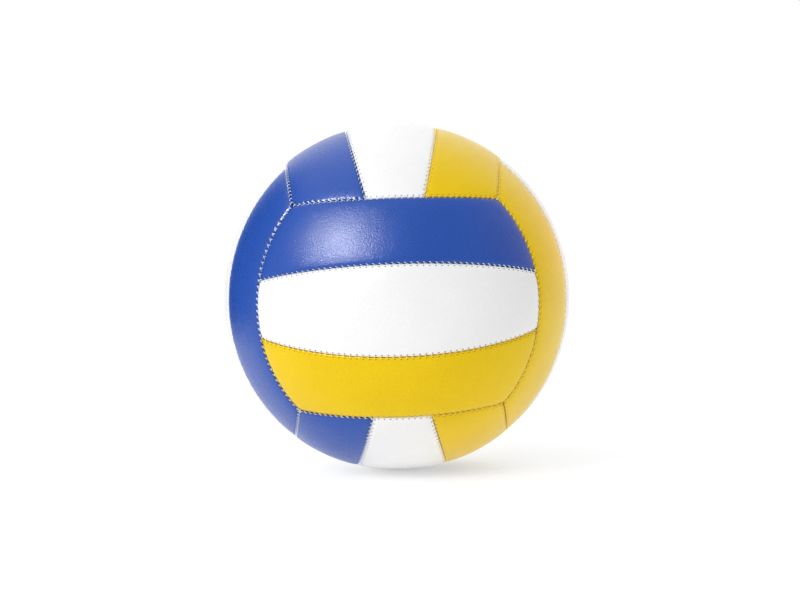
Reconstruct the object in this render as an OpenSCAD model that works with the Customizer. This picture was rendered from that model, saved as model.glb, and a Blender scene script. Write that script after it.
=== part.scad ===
// An inflated indoor volleyball of eighteen panels: six faces of three strips each.
// The strips of neighbouring faces run at right angles. Each panel is a thin synthetic
// leather cover whose edges turn in to be sewn, with a foam pad bonded inside it. A
// rubber bladder with a needle valve fills the sewn carcass. The origin is the ball's
// centre, +Z is up, the front face looks along -Y and the valve looks along +Y.

/* [Ball] */
// Diameter of the inflated ball over its covers
ball_d = 210; // [204:1:216]
// How far a face's long edge bows in toward the face's middle, from the ball's 45-degree plane
edge_bow = 13.3; // [10:0.1:15]
// Width of a face's middle strip across its middle
middle_w = 54; // [48:1:60]

/* [Covers] */
// Thickness of the synthetic leather of a cover
cover_t = 1.2; // [0.8:0.1:1.6]
// Rounding of a cover's edge where it turns in to a seam
edge_r = 2.2; // [1.6:0.1:3]
// How far a cover's turned-in edge reaches below the ball's surface
seam_depth = 5.5; // [5:0.1:7]
// Gap between the turned-in edges of two covers, closed up by their glue and thread
seam_gap = 0.2; // [0.1:0.05:0.5]

/* [Foam pads] */
// Thickness of the foam and cloth backing bonded inside a cover
pad_t = 3; // [2:0.1:3.4]
// Clearance round a pad, inside its cover's turned-in edges
pad_clearance = 0.4; // [0.2:0.1:0.9]
// Thickness of the film of glue between a cover and its pad
glue_t = 0.1; // [0.05:0.01:0.2]

/* [Stitching] */
// Diameter of the sewing thread
thread_d = 0.8; // [0.5:0.05:1.1]
// Clearance between the thread and the rounded edges that it lies between
thread_clearance = 0.05; // [0.03:0.01:0.1]
// Distance that a thread stops short of the thread that crosses its end
thread_end_gap = 0.4; // [0.2:0.1:0.8]

/* [Bladder] */
// Thickness of the bladder's rubber
bladder_t = 0.6; // [0.4:0.1:1.2]
// Clearance between the bladder and the covers' turned-in edges
bladder_clearance = 0.3; // [0.2:0.05:0.6]
// Diameter of the reinforcing patch on the bladder round the valve
patch_d = 42; // [34:1:50]
// Thickness of the reinforcing patch
patch_t = 0.7; // [0.4:0.1:0.9]

/* [Valve] */
// Diameter of the hole in the cover over the valve
valve_hole_d = 6.4; // [6.2:0.1:7.2]
// Diameter of the valve stem where it fills the hole in the cover
stem_neck_d = 6; // [5.4:0.1:6.2]
// Diameter of the valve stem below the cover
stem_body_d = 9; // [8:0.5:12]
// Diameter of the valve stem's flange on the bladder
flange_d = 26; // [20:1:30]
// Thickness of the valve stem's flange
flange_t = 0.8; // [0.5:0.1:1.2]
// How far the valve stem reaches into the bladder
stem_reach = 15; // [12:1:20]
// Diameter of the valve core that plugs the stem
core_d = 4.4; // [4:0.1:4.8]
// Diameter of the core's locking collar
collar_d = 6; // [5.4:0.1:6.6]
// Width of the locking collar along the core
collar_w = 1.8; // [1.2:0.1:3]
// Clearance between the core and the stem
core_clearance = 0.05; // [0.03:0.01:0.1]
// Diameter of the channel that the inflation needle goes into
needle_d = 2; // [1.6:0.1:2.4]
// Depth of the needle channel, from the core's outer end
needle_depth = 9; // [7:0.5:12]
// Diameter of the ring that reinforces the pad round the valve
seat_ring_d = 22; // [16:1:30]
// Thickness of the reinforcing ring
seat_ring_t = 0.4; // [0.2:0.1:0.6]

/* [Hidden] */
$fn = 96;
over = 1;                          // overrun of every cut past what it cuts
nozzle_recess = 0.7;               // the stem's end lies this far below the ball's surface
core_recess = 0.3;                 // the core's end lies this far below the stem's end
funnel_d = 3.2;                    // mouth of the core, which guides the needle
funnel_depth = 1;
core_tip_d = 3;                    // the core's inner end, past its slit
core_tip_l = 3;
core_past_stem = 1;                // the core's tip shows this far past the stem's inner end
stem_tip_d = 7.4;                  // the stem's inner end
collar_depth = 7;                  // from the stem's outer end to the middle of the collar
patch_gap = 0.3;                   // between the patch and the stem's flange
rubber_gap = 0.05;                 // between pieces that lie on each other
pad_hole_clearance = 0.5;          // between the stem and the hole in the pad
tangent_share = 0.98;              // how nearly an edge's rounding is tangent to its two walls

ball_r = ball_d / 2;
corner = 1 / sqrt(3);              // a cube corner's coordinates on a ball of radius 1

// The middle strip lies between two great circles, this far either side of the face's middle.
strip_angle = asin(middle_w / ball_d);
// A face's long edges are circles through its corners, with their axes tipped back by edge_tilt.
face_angle = 45 - asin(edge_bow / ball_r);
edge_tilt = atan2(sin(face_angle) - corner, cos(face_angle) - corner);
edge_cone = acos(corner * (cos(edge_tilt) - sin(edge_tilt)));

// The wall of a long edge's seam is part of a large ball that meets the surface square.
wall_at = ball_r / cos(edge_cone);
wall_r = ball_r * tan(edge_cone);

// Half of the arc of a long edge about its axis, from corner to corner.
edge_half_arc = atan2(1, cos(edge_tilt) + sin(edge_tilt));
// Half of the arc of a strip seam, from the middle of a face to the long edge that ends it.
strip_half_arc = acos(cos(edge_cone) / norm([cos(edge_tilt) * cos(strip_angle), sin(edge_tilt)]))
    - atan2(sin(edge_tilt), cos(edge_tilt) * cos(strip_angle));

// Centres of the edges' roundings, from the ball's centre and from the middle of their seam.
rounding_r = ball_r - tangent_share * edge_r;
rounding_off = seam_gap / 2 + tangent_share * edge_r;
rounding_past = degrees_along(edge_r + over, ball_r * sin(edge_cone));
// Where the thread's centre lies: on top of the roundings either side of it.
thread_r = sqrt(pow(rounding_r, 2) - pow(rounding_off, 2))
    + sqrt(pow(edge_r + thread_d / 2 + thread_clearance, 2) - pow(rounding_off, 2));

pad_outer_r = ball_r - cover_t - glue_t;
pad_inner_r = pad_outer_r - pad_t;
pad_hole_d = stem_body_d + 2 * pad_hole_clearance;
// The bladder lies under the turned-in edges, or under the valve's ring and flange if these
// reach deeper.
valve_stack = seat_ring_t + flange_t + 3 * rubber_gap;
bladder_r = min(ball_r - seam_depth - bladder_clearance, pad_inner_r - valve_stack);
flange_r = bladder_r + rubber_gap + flange_t;
stem_top = ball_r - nozzle_recess;
stem_shoulder = sqrt(pow(pad_outer_r, 2) - pow(stem_body_d / 2, 2));
stem_end = bladder_r - stem_reach;
core_top = stem_top - core_recess;
core_end = stem_end - core_past_stem;
collar_at = stem_top - collar_depth;

BLUE = "#2750b0";
WHITE = "#f4f4f2";
YELLOW = "#f2cb12";
THREAD = "#e9ecf2";
FOAM = "#d9d4c4";
RUBBER = "#2b2b2d";
VALVE = "#e8e6df";

// Each face: its name, the turn that takes the front face there, and its strips'
// names and colours, from the strip that the turn takes from the front's upper one.
RIGHT_TURN = [90, -90, 0];
FACES = [
    ["front", [0, 0, 0], ["upper", "middle", "lower"], [BLUE, WHITE, YELLOW]],
    ["rear", [0, 0, 180], ["upper", "middle", "lower"], [BLUE, WHITE, YELLOW]],
    ["top", [-90, 0, 90], ["left", "middle", "right"], [BLUE, WHITE, YELLOW]],
    ["bottom", [90, 0, -90], ["left", "middle", "right"], [BLUE, WHITE, YELLOW]],
    ["left", [90, 90, 0], ["front", "middle", "rear"], [BLUE, WHITE, YELLOW]],
    ["right", RIGHT_TURN, ["front", "middle", "rear"], [YELLOW, WHITE, BLUE]],
];
STRIPS = [0, 1, 2];
SIDES = [1, -1];
VALVE_FACE = "rear";

function is_middle(strip) = strip == STRIPS[1];
function strip_name(face, strip, piece) = str(face[0], "_", face[2][strip], "_", piece);
function seam_name(face, seam) = str(face[0], "_", seam, "_thread");

function degrees_along(arc, radius) = arc / radius * 180 / PI;
function unit(v) = v / norm(v);

module hollow_ball(outer_r, inner_r) {
    difference() {
        sphere(r = outer_r);
        sphere(r = inner_r);
    }
}

// The second side of a face is its first side, turned half round about the face's middle.
module on_side(side) {
    rotate([0, side > 0 ? 0 : 180, 0]) children();
}

// The frames of the seams round the front face, with Z on the axis of a seam's circle and
// -Y toward the middle of the seam.
module long_edge_frame(side) {
    on_side(side) rotate([-edge_tilt, 0, 0]) children();
}
module strip_frame(side) {
    on_side(side) rotate([-strip_angle, 0, 0]) children();
}
// The ends of the front face's strips lie on the long edges of the faces beside it.
module end_frame(side) {
    on_side(side) rotate(RIGHT_TURN) long_edge_frame(1) children();
}

// The large ball whose surface is a long edge's wall, grown to clear the seam.
module wall_ball(grown) {
    translate([0, 0, wall_at]) sphere(r = wall_r + grown);
}

// The half of space past a strip seam's plane.
module half_space(inset) {
    size = 2 * (ball_r + over);
    translate([-size / 2, -size / 2, inset]) cube([size, size, size]);
}

// The part of a hollow ball under the middle strip or the first outer strip of the front
// face, inset from the seams all round.
module strip_zone(middle, outer_r, inner_r, inset) {
    difference() {
        intersection() {
            hollow_ball(outer_r, inner_r);
            end_frame(1) wall_ball(-inset);
            end_frame(-1) wall_ball(-inset);
            if (!middle) strip_frame(1) half_space(inset);
        }
        if (middle) for (side = SIDES) strip_frame(side) half_space(-inset);
        else long_edge_frame(1) wall_ball(inset);
    }
}

// An arc about a seam's axis, from the middle of the seam by half_arc each way.
module along_seam(half_arc) {
    rotate([0, 0, -90 - half_arc]) rotate_extrude(angle = 2 * half_arc) children();
}

// What a rounding takes off an edge: the corner past its circle, swept along the seam.
module rounding(centre, to_wall, half_arc) {
    reach = edge_r + over;
    to_surface = unit(centre);
    along_seam(half_arc + rounding_past) difference() {
        polygon([
            centre,
            centre + reach * to_surface,
            centre + reach * (to_surface + to_wall),
            centre + reach * to_wall,
        ]);
        translate(centre) circle(r = edge_r);
    }
}

// The rounding beside a long edge's wall: outward is 1 for the strip outside the wall's
// large ball and -1 for the strips that end inside it.
module long_edge_rounding(outward) {
    from_wall = wall_r + outward * rounding_off;
    z = (pow(rounding_r, 2) - pow(from_wall, 2) + pow(wall_at, 2)) / (2 * wall_at);
    centre = [sqrt(pow(rounding_r, 2) - pow(z, 2)), z];
    rounding(centre, outward * unit([0, wall_at] - centre), edge_half_arc);
}

// The rounding beside a strip seam's plane: below is 1 for the middle strip, under the
// plane, and -1 for the outer strip.
module strip_rounding(below) {
    centre = [sqrt(pow(rounding_r, 2) - pow(rounding_off, 2)), -below * rounding_off];
    rounding(centre, [0, below], strip_half_arc);
}

module with_end_rounded(side) {
    difference() {
        children();
        end_frame(side) long_edge_rounding(-1);
    }
}
module with_long_edge_rounded() {
    difference() {
        children();
        long_edge_frame(1) long_edge_rounding(1);
    }
}
module with_strip_seam_rounded(side, below) {
    difference() {
        children();
        strip_frame(side) strip_rounding(below);
    }
}

// The solid outside of a cover: a piece of the ball with its four edges rounded.
module cover_block(middle) {
    with_end_rounded(1) with_end_rounded(-1)
        if (middle)
            with_strip_seam_rounded(1, 1) with_strip_seam_rounded(-1, 1)
                strip_zone(middle, ball_r, ball_r - seam_depth, seam_gap / 2);
        else
            with_strip_seam_rounded(1, -1) with_long_edge_rounded()
                strip_zone(middle, ball_r, ball_r - seam_depth, seam_gap / 2);
}

// A straight hole through the face's middle, for the valve.
module valve_hole(d) {
    rotate([90, 0, 0]) cylinder(h = ball_r + over, d = d);
}

// The last strip of a face is its first strip, on the second side.
module in_strip(face, strip) {
    rotate(face[1]) on_side(strip > STRIPS[1] ? -1 : 1) children();
}

module cover(face, strip) {
    middle = is_middle(strip);
    color(face[3][strip]) in_strip(face, strip) difference() {
        cover_block(middle);
        strip_zone(middle, ball_r - cover_t, ball_r - seam_depth - over, seam_gap / 2 + cover_t);
        if (middle && face[0] == VALVE_FACE) valve_hole(valve_hole_d);
    }
}

module pad(face, strip) {
    middle = is_middle(strip);
    color(FOAM) in_strip(face, strip) difference() {
        strip_zone(middle, pad_outer_r, pad_inner_r, seam_gap / 2 + cover_t + pad_clearance);
        if (middle && face[0] == VALVE_FACE) valve_hole(pad_hole_d);
    }
}

// A thread in the valley of a seam. Angle is the seam circle's, from its axis.
module seam_thread(angle, half_arc) {
    trim = degrees_along(thread_d + thread_end_gap, thread_r * sin(angle));
    along_seam(half_arc - trim) translate(thread_r * [sin(angle), cos(angle)]) circle(d = thread_d);
}

module strip_threads(face) {
    color(THREAD) rotate(face[1]) for (side = SIDES)
        strip_frame(side) seam_thread(90, strip_half_arc);
}

module edge_threads(face) {
    color(THREAD) rotate(face[1]) for (side = SIDES)
        long_edge_frame(side) seam_thread(edge_cone, edge_half_arc);
}

// What follows is turned so that the valve's axis, Z here, points along +Y.
module on_valve_axis() {
    rotate([-90, 0, 0]) children();
}

// A disc with a hole, cut from a hollow ball round the valve's axis.
module curved_ring(outer_r, t, outer_d, inner_d) {
    difference() {
        intersection() {
            hollow_ball(outer_r, outer_r - t);
            cylinder(h = ball_r, d = outer_d);
        }
        cylinder(h = ball_r, d = inner_d);
    }
}

module bladder() {
    color(RUBBER) on_valve_axis() difference() {
        hollow_ball(bladder_r, bladder_r - bladder_t);
        cylinder(h = ball_r, d = stem_body_d + 2 * rubber_gap);
    }
}

module bladder_patch() {
    color(RUBBER) on_valve_axis()
        curved_ring(bladder_r + rubber_gap + patch_t, patch_t, patch_d, flange_d + 2 * patch_gap);
}

module valve_seat_ring() {
    color(FOAM) on_valve_axis()
        curved_ring(pad_inner_r - rubber_gap, seat_ring_t, seat_ring_d, pad_hole_d);
}

// The stem's bore has a groove that the core's collar snaps into.
module valve_stem() {
    body_end = bladder_r - bladder_t;
    color(VALVE) on_valve_axis() difference() {
        union() {
            curved_ring(flange_r, flange_t, flange_d, stem_neck_d);
            translate([0, 0, stem_end])
                cylinder(h = body_end - stem_end, d1 = stem_tip_d, d2 = stem_body_d);
            translate([0, 0, body_end]) cylinder(h = stem_shoulder - body_end, d = stem_body_d);
            translate([0, 0, body_end]) cylinder(h = stem_top - body_end, d = stem_neck_d);
        }
        translate([0, 0, stem_end - over])
            cylinder(h = stem_top - stem_end + 2 * over, d = core_d + 2 * core_clearance);
        translate([0, 0, collar_at - collar_w / 2 - core_clearance])
            cylinder(h = collar_w + 2 * core_clearance, d = collar_d + 2 * core_clearance);
    }
}

module valve_core() {
    color(VALVE) on_valve_axis() rotate_extrude() polygon([
        [0, core_end],
        [core_tip_d / 2, core_end],
        [core_d / 2, core_end + core_tip_l],
        [core_d / 2, collar_at - collar_w / 2],
        [collar_d / 2, collar_at - collar_w / 2],
        [collar_d / 2, collar_at + collar_w / 2],
        [core_d / 2, collar_at + collar_w / 2],
        [core_d / 2, core_top],
        [funnel_d / 2, core_top],
        [needle_d / 2, core_top - funnel_depth],
        [needle_d / 2, core_top - needle_depth],
        [0, core_top - needle_depth - needle_d / 2],
    ]);
}

for (face = FACES) {
    for (strip = STRIPS) {
        cover(face, strip);
        pad(face, strip);
    }
    strip_threads(face);
    edge_threads(face);
}
bladder();
bladder_patch();
valve_stem();
valve_core();
valve_seat_ring();
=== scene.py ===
"""The looks of an eighteen-panel indoor volleyball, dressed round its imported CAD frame.

The ball's centre is the origin, +Z is up, the front face looks along -Y and the valve along +Y.
Lengths are in metres.
"""

import logging
import math
from dataclasses import dataclass, field
from enum import Enum
from typing import Any, Callable, Sequence

import bmesh
import bpy
import numpy as np
from mathutils import Euler, Matrix, Quaternion, Vector


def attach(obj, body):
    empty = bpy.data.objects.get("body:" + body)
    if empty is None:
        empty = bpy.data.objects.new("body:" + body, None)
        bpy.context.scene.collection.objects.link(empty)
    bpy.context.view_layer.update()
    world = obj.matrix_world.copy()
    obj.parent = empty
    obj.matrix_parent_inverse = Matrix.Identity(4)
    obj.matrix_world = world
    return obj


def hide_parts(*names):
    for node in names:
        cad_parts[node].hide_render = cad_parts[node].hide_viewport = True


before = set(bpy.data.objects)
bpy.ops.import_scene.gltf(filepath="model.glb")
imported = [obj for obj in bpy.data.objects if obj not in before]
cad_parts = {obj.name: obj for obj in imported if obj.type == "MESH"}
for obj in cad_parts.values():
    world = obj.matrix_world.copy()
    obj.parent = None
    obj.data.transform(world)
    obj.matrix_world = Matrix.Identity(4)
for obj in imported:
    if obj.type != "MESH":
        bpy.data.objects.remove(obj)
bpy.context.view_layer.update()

log = logging.getLogger("volleyball")

MM = 0.001
BODY = "root"


class Strip(Enum):
    """The three strips of a face, from the one that the face's turn takes from the front's top."""

    FIRST = 0
    MIDDLE = 1
    LAST = 2


class Shade(Enum):
    """The colours that the covers are cut from."""

    BLUE = "blue"
    WHITE = "white"
    YELLOW = "yellow"


@dataclass(frozen=True)
class Face:
    """One of the ball's six faces.

    Attributes:
        name: What the face looks toward.
        turn: Angles in degrees about X, Y and Z that take the front face there.
        strips: Names of its three strips.
        shades: Colours of its three strips.
    """

    name: str
    turn: tuple[float, float, float]
    strips: tuple[str, str, str]
    shades: tuple[Shade, Shade, Shade]

    def matrix(self) -> Matrix:
        """The turn from the front face to this one."""
        return Euler([math.radians(a) for a in self.turn], "XYZ").to_matrix()


BLUE_FIRST = (Shade.BLUE, Shade.WHITE, Shade.YELLOW)
YELLOW_FIRST = (Shade.YELLOW, Shade.WHITE, Shade.BLUE)
FACES = (
    Face("front", (0, 0, 0), ("upper", "middle", "lower"), BLUE_FIRST),
    Face("rear", (0, 0, 180), ("upper", "middle", "lower"), BLUE_FIRST),
    Face("top", (-90, 0, 90), ("left", "middle", "right"), BLUE_FIRST),
    Face("bottom", (90, 0, -90), ("left", "middle", "right"), BLUE_FIRST),
    Face("left", (90, 90, 0), ("front", "middle", "rear"), BLUE_FIRST),
    Face("right", (90, -90, 0), ("front", "middle", "rear"), YELLOW_FIRST),
)
VALVE_FACE = "rear"


@dataclass(frozen=True)
class Layout:
    """The sewn ball's sizes, as in the CAD model, and what follows from them.

    Attributes:
        ball_d: Diameter of the ball over its covers.
        edge_bow: How far a face's long edge bows in toward the face's middle.
        middle_w: Width of a middle strip.
        outer_w: Width of an outer strip at its middle, laid out flat, to the nearest millimetre.
        seam_gap: Gap between two covers.
    """

    ball_d: float = 210 * MM
    edge_bow: float = 13.3 * MM
    middle_w: float = 54 * MM
    outer_w: float = 43 * MM
    seam_gap: float = 0.2 * MM

    @property
    def ball_r(self) -> float:
        """Radius of the ball over its covers."""
        return self.ball_d / 2

    @property
    def strip_angle(self) -> float:
        """Angle from a face's middle to the great circles either side of its middle strip."""
        return math.asin(self.middle_w / self.ball_d)

    @property
    def edge_tilt(self) -> float:
        """How far the axis of a face's long edge tips back."""
        face_angle = math.pi / 4 - math.asin(self.edge_bow / self.ball_r)
        corner = 1 / math.sqrt(3)
        return math.atan2(math.sin(face_angle) - corner, math.cos(face_angle) - corner)

    @property
    def edge_cone(self) -> float:
        """Angle from that axis to the edge."""
        corner = 1 / math.sqrt(3)
        return math.acos(corner * (math.cos(self.edge_tilt) - math.sin(self.edge_tilt)))

    @property
    def edge_half_arc(self) -> float:
        """Half of a long edge's arc about its axis."""
        return math.atan2(1, math.cos(self.edge_tilt) + math.sin(self.edge_tilt))

    @property
    def strip_half_arc(self) -> float:
        """Half of a strip seam's arc."""
        across = math.cos(self.edge_tilt) * math.cos(self.strip_angle)
        reach = math.hypot(across, math.sin(self.edge_tilt))
        turned = math.atan2(math.sin(self.edge_tilt), across)
        return math.acos(math.cos(self.edge_cone) / reach) - turned

    def flat_size(self, middle: bool) -> tuple[float, float]:
        """Length and width of a middle strip or an outer one, laid out flat."""
        return 2 * self.strip_half_arc * self.ball_r, self.middle_w if middle else self.outer_w


@dataclass(frozen=True)
class Seam:
    """A circle on the ball that covers are sewn along.

    Attributes:
        axis: Unit vector through the circle's middle.
        cone: Angle from the axis to the circle.
        middle: Unit vector square to the axis, toward the middle of the seam.
        half_arc: Half of the seam's arc about the axis.
        outside: 1 for a cover that lies outside the circle, -1 for one inside it.
    """

    axis: Vector
    cone: float
    middle: Vector
    half_arc: float
    outside: int = 1

    def along(self) -> Vector:
        """Unit vector along the seam at its middle."""
        return self.middle.cross(self.axis)

    def reach(self, ball_r: float) -> float:
        """Half of the seam's length."""
        return self.half_arc * math.sin(self.cone) * ball_r

    def turned(self, matrix: Matrix) -> "Seam":
        """The same seam after a turn of the ball."""
        return Seam(matrix @ self.axis, self.cone, matrix @ self.middle, self.half_arc, self.outside)

    def measure(self, points: np.ndarray, ball_r: float) -> tuple[np.ndarray, np.ndarray, np.ndarray]:
        """Measures unit vectors against the seam.

        Args:
            points: Unit vectors, one a row.
            ball_r: Radius of the ball.

        Returns:
            Each point's distance into the cover, its place along the seam, and the unit
            vector that leads straight away from the seam into the cover.
        """
        axis = np.array(self.axis)
        lean = np.clip(points @ axis, -1, 1)
        angle = np.arccos(lean)
        inward = points * lean[:, None] - axis
        inward *= self.outside / np.maximum(np.linalg.norm(inward, axis=1), 1e-9)[:, None]
        turn = np.arctan2(points @ np.array(self.along()), points @ np.array(self.middle))
        distance = self.outside * (angle - self.cone) * ball_r
        return distance, turn * math.sin(self.cone) * ball_r, inward


class SeamPlan:
    """The seams of the front face, from which every other face's are turned."""

    HALF_TURN = Matrix.Rotation(math.pi, 3, "Y")

    def __init__(self, layout: Layout) -> None:
        """Works out the first long edge, the first strip seam and the ends of the strips."""
        tilt, lean = layout.edge_tilt, layout.strip_angle
        cone, half_arc = layout.edge_cone, layout.edge_half_arc
        self.edge = Seam(
            Vector((0, math.sin(tilt), math.cos(tilt))), cone,
            Vector((0, -math.cos(tilt), math.sin(tilt))), half_arc)
        self.strip = Seam(
            Vector((0, math.sin(lean), math.cos(lean))), math.pi / 2,
            Vector((0, -math.cos(lean), math.sin(lean))), layout.strip_half_arc)
        end = Seam(
            Vector((-math.sin(tilt), -math.cos(tilt), 0)), cone,
            Vector((math.cos(tilt), -math.sin(tilt), 0)), half_arc, outside=-1)
        self.ends = [end, end.turned(self.HALF_TURN)]

    def round_strip(self, middle: bool) -> list[Seam]:
        """The four seams round the middle strip or the first one."""
        if middle:
            return [self.strip, self.strip.turned(self.HALF_TURN), *self.ends]
        lower = Seam(self.strip.axis, self.strip.cone, self.strip.middle, self.strip.half_arc, -1)
        return [self.edge, lower, *self.ends]

    def both(self, seam: Seam) -> list[Seam]:
        """A seam of the first side and its twin on the last side."""
        return [seam, seam.turned(self.HALF_TURN)]


@dataclass(frozen=True)
class StripPlace:
    """One of the ball's eighteen strips.

    Attributes:
        name: What its pieces' names start with.
        shade: Colour of its cover.
        middle: Whether it is its face's middle strip.
        valve: Whether the valve comes through it.
        turn: The turn that takes the front face's first or middle strip there.
    """

    name: str
    shade: Shade
    middle: bool
    valve: bool
    turn: Matrix

    def turned(self, points: np.ndarray) -> np.ndarray:
        """Points of the front face's strip, one a row, turned to this one."""
        return points @ np.array(self.turn).T


def strip_places() -> list[StripPlace]:
    """The eighteen strips, face by face."""
    places = []
    for face in FACES:
        for strip, name, shade in zip(Strip, face.strips, face.shades):
            middle = strip is Strip.MIDDLE
            turn = face.matrix() @ SeamPlan.HALF_TURN if strip is Strip.LAST else face.matrix()
            places.append(StripPlace(
                f"{face.name}_{name}", shade, middle, middle and face.name == VALVE_FACE, turn))
    return places


@dataclass(frozen=True)
class StitchRow:
    """How the seams are sewn.

    Attributes:
        pitch: Distance from one stitch to the next, as near as the seam's length allows.
        hole_at: Distance of the needle's holes from the seam.
        thread_r: Radius of the thread.
        sides: Sides of the thread's section.
        HOLE_BEHIND: How far past the thread the hole's dimple lies.
        CORNER_SHARE: Room at a seam's end, in stitches.
    """

    HOLE_BEHIND = 0.3 * MM
    CORNER_SHARE = 0.45

    pitch: float = 3.66 * MM
    hole_at: float = 0.9 * MM
    thread_r: float = 0.17 * MM
    sides: int = 6

    def fitted_pitch(self, length: float) -> float:
        """The pitch at which a seam of that half length has a stitch close to both its corners."""
        return length / (round(length / self.pitch - self.CORNER_SHARE) + self.CORNER_SHARE)

    def places(self, length: float) -> list[float]:
        """Places of the stitches on a seam that reaches length either side of its middle."""
        pitch = self.fitted_pitch(length)
        count = int(length / pitch)
        return [k * pitch for k in range(-count, count + 1)]


def finished_mesh(bm: bmesh.types.BMesh, name: str) -> bpy.types.Mesh:
    """Turns a bmesh to a mesh of that name, and frees it."""
    mesh = bpy.data.meshes.new(name)
    bm.to_mesh(mesh)
    bm.free()
    return mesh


@dataclass
class Patch:
    """A strip-shaped piece laid out flat, before it is bent to the ball.

    Its vertices hold (across, up, row): across runs from -1 to 1 along the strip, up from 0
    to 1 across it, and row counts 0 on the face and -1, -2 ... down the turned-in edge.
    The underside is the same, INNER rows lower.

    Attributes:
        length: Length of the strip.
        width: Width of the strip.
        cell: Size of the grid's faces.
        fine_bands: Distances from the border within which the faces are halved, one after another.
        rows: Rows of faces down the turned-in edge.
        hole_r: Radius of the valve's hole, 0 without one.
        FINE_RINGS: The same round the hole, in radii of it.
        RING_W: Least width of the faces round the hole.
    """

    INNER = -100.0
    FINE_RINGS = (3.0, 2.0)
    RING_W = 0.3 * MM

    length: float
    width: float
    cell: float
    fine_bands: Sequence[float] = ()
    rows: int = 0
    hole_r: float = 0.0

    def build(self, name: str) -> bpy.types.Mesh:
        """Makes the flat shell.

        Args:
            name: Name of the mesh.

        Returns:
            The mesh, with an outer and an inner skin that meet at the free edges.
        """
        bm = bmesh.new()
        columns = 2 * round(self.length / self.cell / 2)
        across = 2 * round(self.width / self.cell / 2)
        bmesh.ops.create_grid(bm, x_segments=columns, y_segments=across, size=1)
        bmesh.ops.translate(bm, vec=(0, 1, 0), verts=bm.verts)
        bmesh.ops.scale(bm, vec=(1, 0.5, 1), verts=bm.verts)
        for band in self.fine_bands:
            self._refine(bm, lambda face: self._from_border(face) < band)
        if self.hole_r:
            for reach in self.FINE_RINGS:
                self._refine(bm, lambda face: self._from_middle(face) < reach * self.hole_r)
            self._punch(bm)
        rim = [e for e in bm.edges if e.is_boundary and not self._beside_hole(e)]
        for _ in range(self.rows):
            grown = bmesh.ops.extrude_edge_only(bm, edges=rim)["geom"]
            rim = [g for g in grown if isinstance(g, bmesh.types.BMEdge)]
            moved = [g for g in grown if isinstance(g, bmesh.types.BMVert)]
            bmesh.ops.translate(bm, vec=(0, 0, -1), verts=moved)
            rim = [e for e in rim if e.is_boundary]
        grown = bmesh.ops.extrude_face_region(bm, geom=bm.faces[:], use_keep_orig=True)["geom"]
        moved = [g for g in grown if isinstance(g, bmesh.types.BMVert)]
        bmesh.ops.translate(bm, vec=(0, 0, self.INNER), verts=moved)
        bmesh.ops.recalc_face_normals(bm, faces=bm.faces)
        return finished_mesh(bm, name)

    def _from_border(self, face: bmesh.types.BMFace) -> float:
        """Distance of a face's middle from the nearest border."""
        across, up, _ = face.calc_center_median()
        return min((1 - abs(across)) * self.length / 2, min(up, 1 - up) * self.width)

    def _from_middle(self, face: bmesh.types.BMFace) -> float:
        """Distance of a face's middle from the patch's middle."""
        across, up, _ = face.calc_center_median()
        return math.hypot(across * self.length / 2, (up - 0.5) * self.width)

    def _beside_hole(self, edge: bmesh.types.BMEdge) -> bool:
        """Whether an edge lies on the rim of the hole, and not on the border."""
        across, up, _ = (edge.verts[0].co + edge.verts[1].co) / 2
        return abs(across) < 0.5 and abs(up - 0.5) < 0.25

    @staticmethod
    def _refine(bm: bmesh.types.BMesh, chosen: Callable[[bmesh.types.BMFace], bool]) -> None:
        """Halves the edges of the faces that chosen picks."""
        faces = [f for f in bm.faces if chosen(f)]
        edges = list(dict.fromkeys(e for f in faces for e in f.edges))
        bmesh.ops.subdivide_edges(bm, edges=edges, cuts=1, use_grid_fill=True)

    def _punch(self, bm: bmesh.types.BMesh) -> None:
        """Cuts the round hole for the valve in the patch's middle."""
        inside = [f for f in bm.faces if self._from_middle(f) < self.hole_r]
        bmesh.ops.delete(bm, geom=inside, context="FACES")
        for vert in bm.verts:
            x, y = vert.co.x * self.length / 2, (vert.co.y - 0.5) * self.width
            far = math.hypot(x, y)
            if far < min(self.FINE_RINGS) * self.hole_r:
                on_rim = any(e.is_boundary for e in vert.link_edges)
                wanted = self.hole_r if on_rim else max(far, self.hole_r + self.RING_W)
                vert.co.x *= wanted / far
                vert.co.y = 0.5 + (vert.co.y - 0.5) * wanted / far


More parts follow.
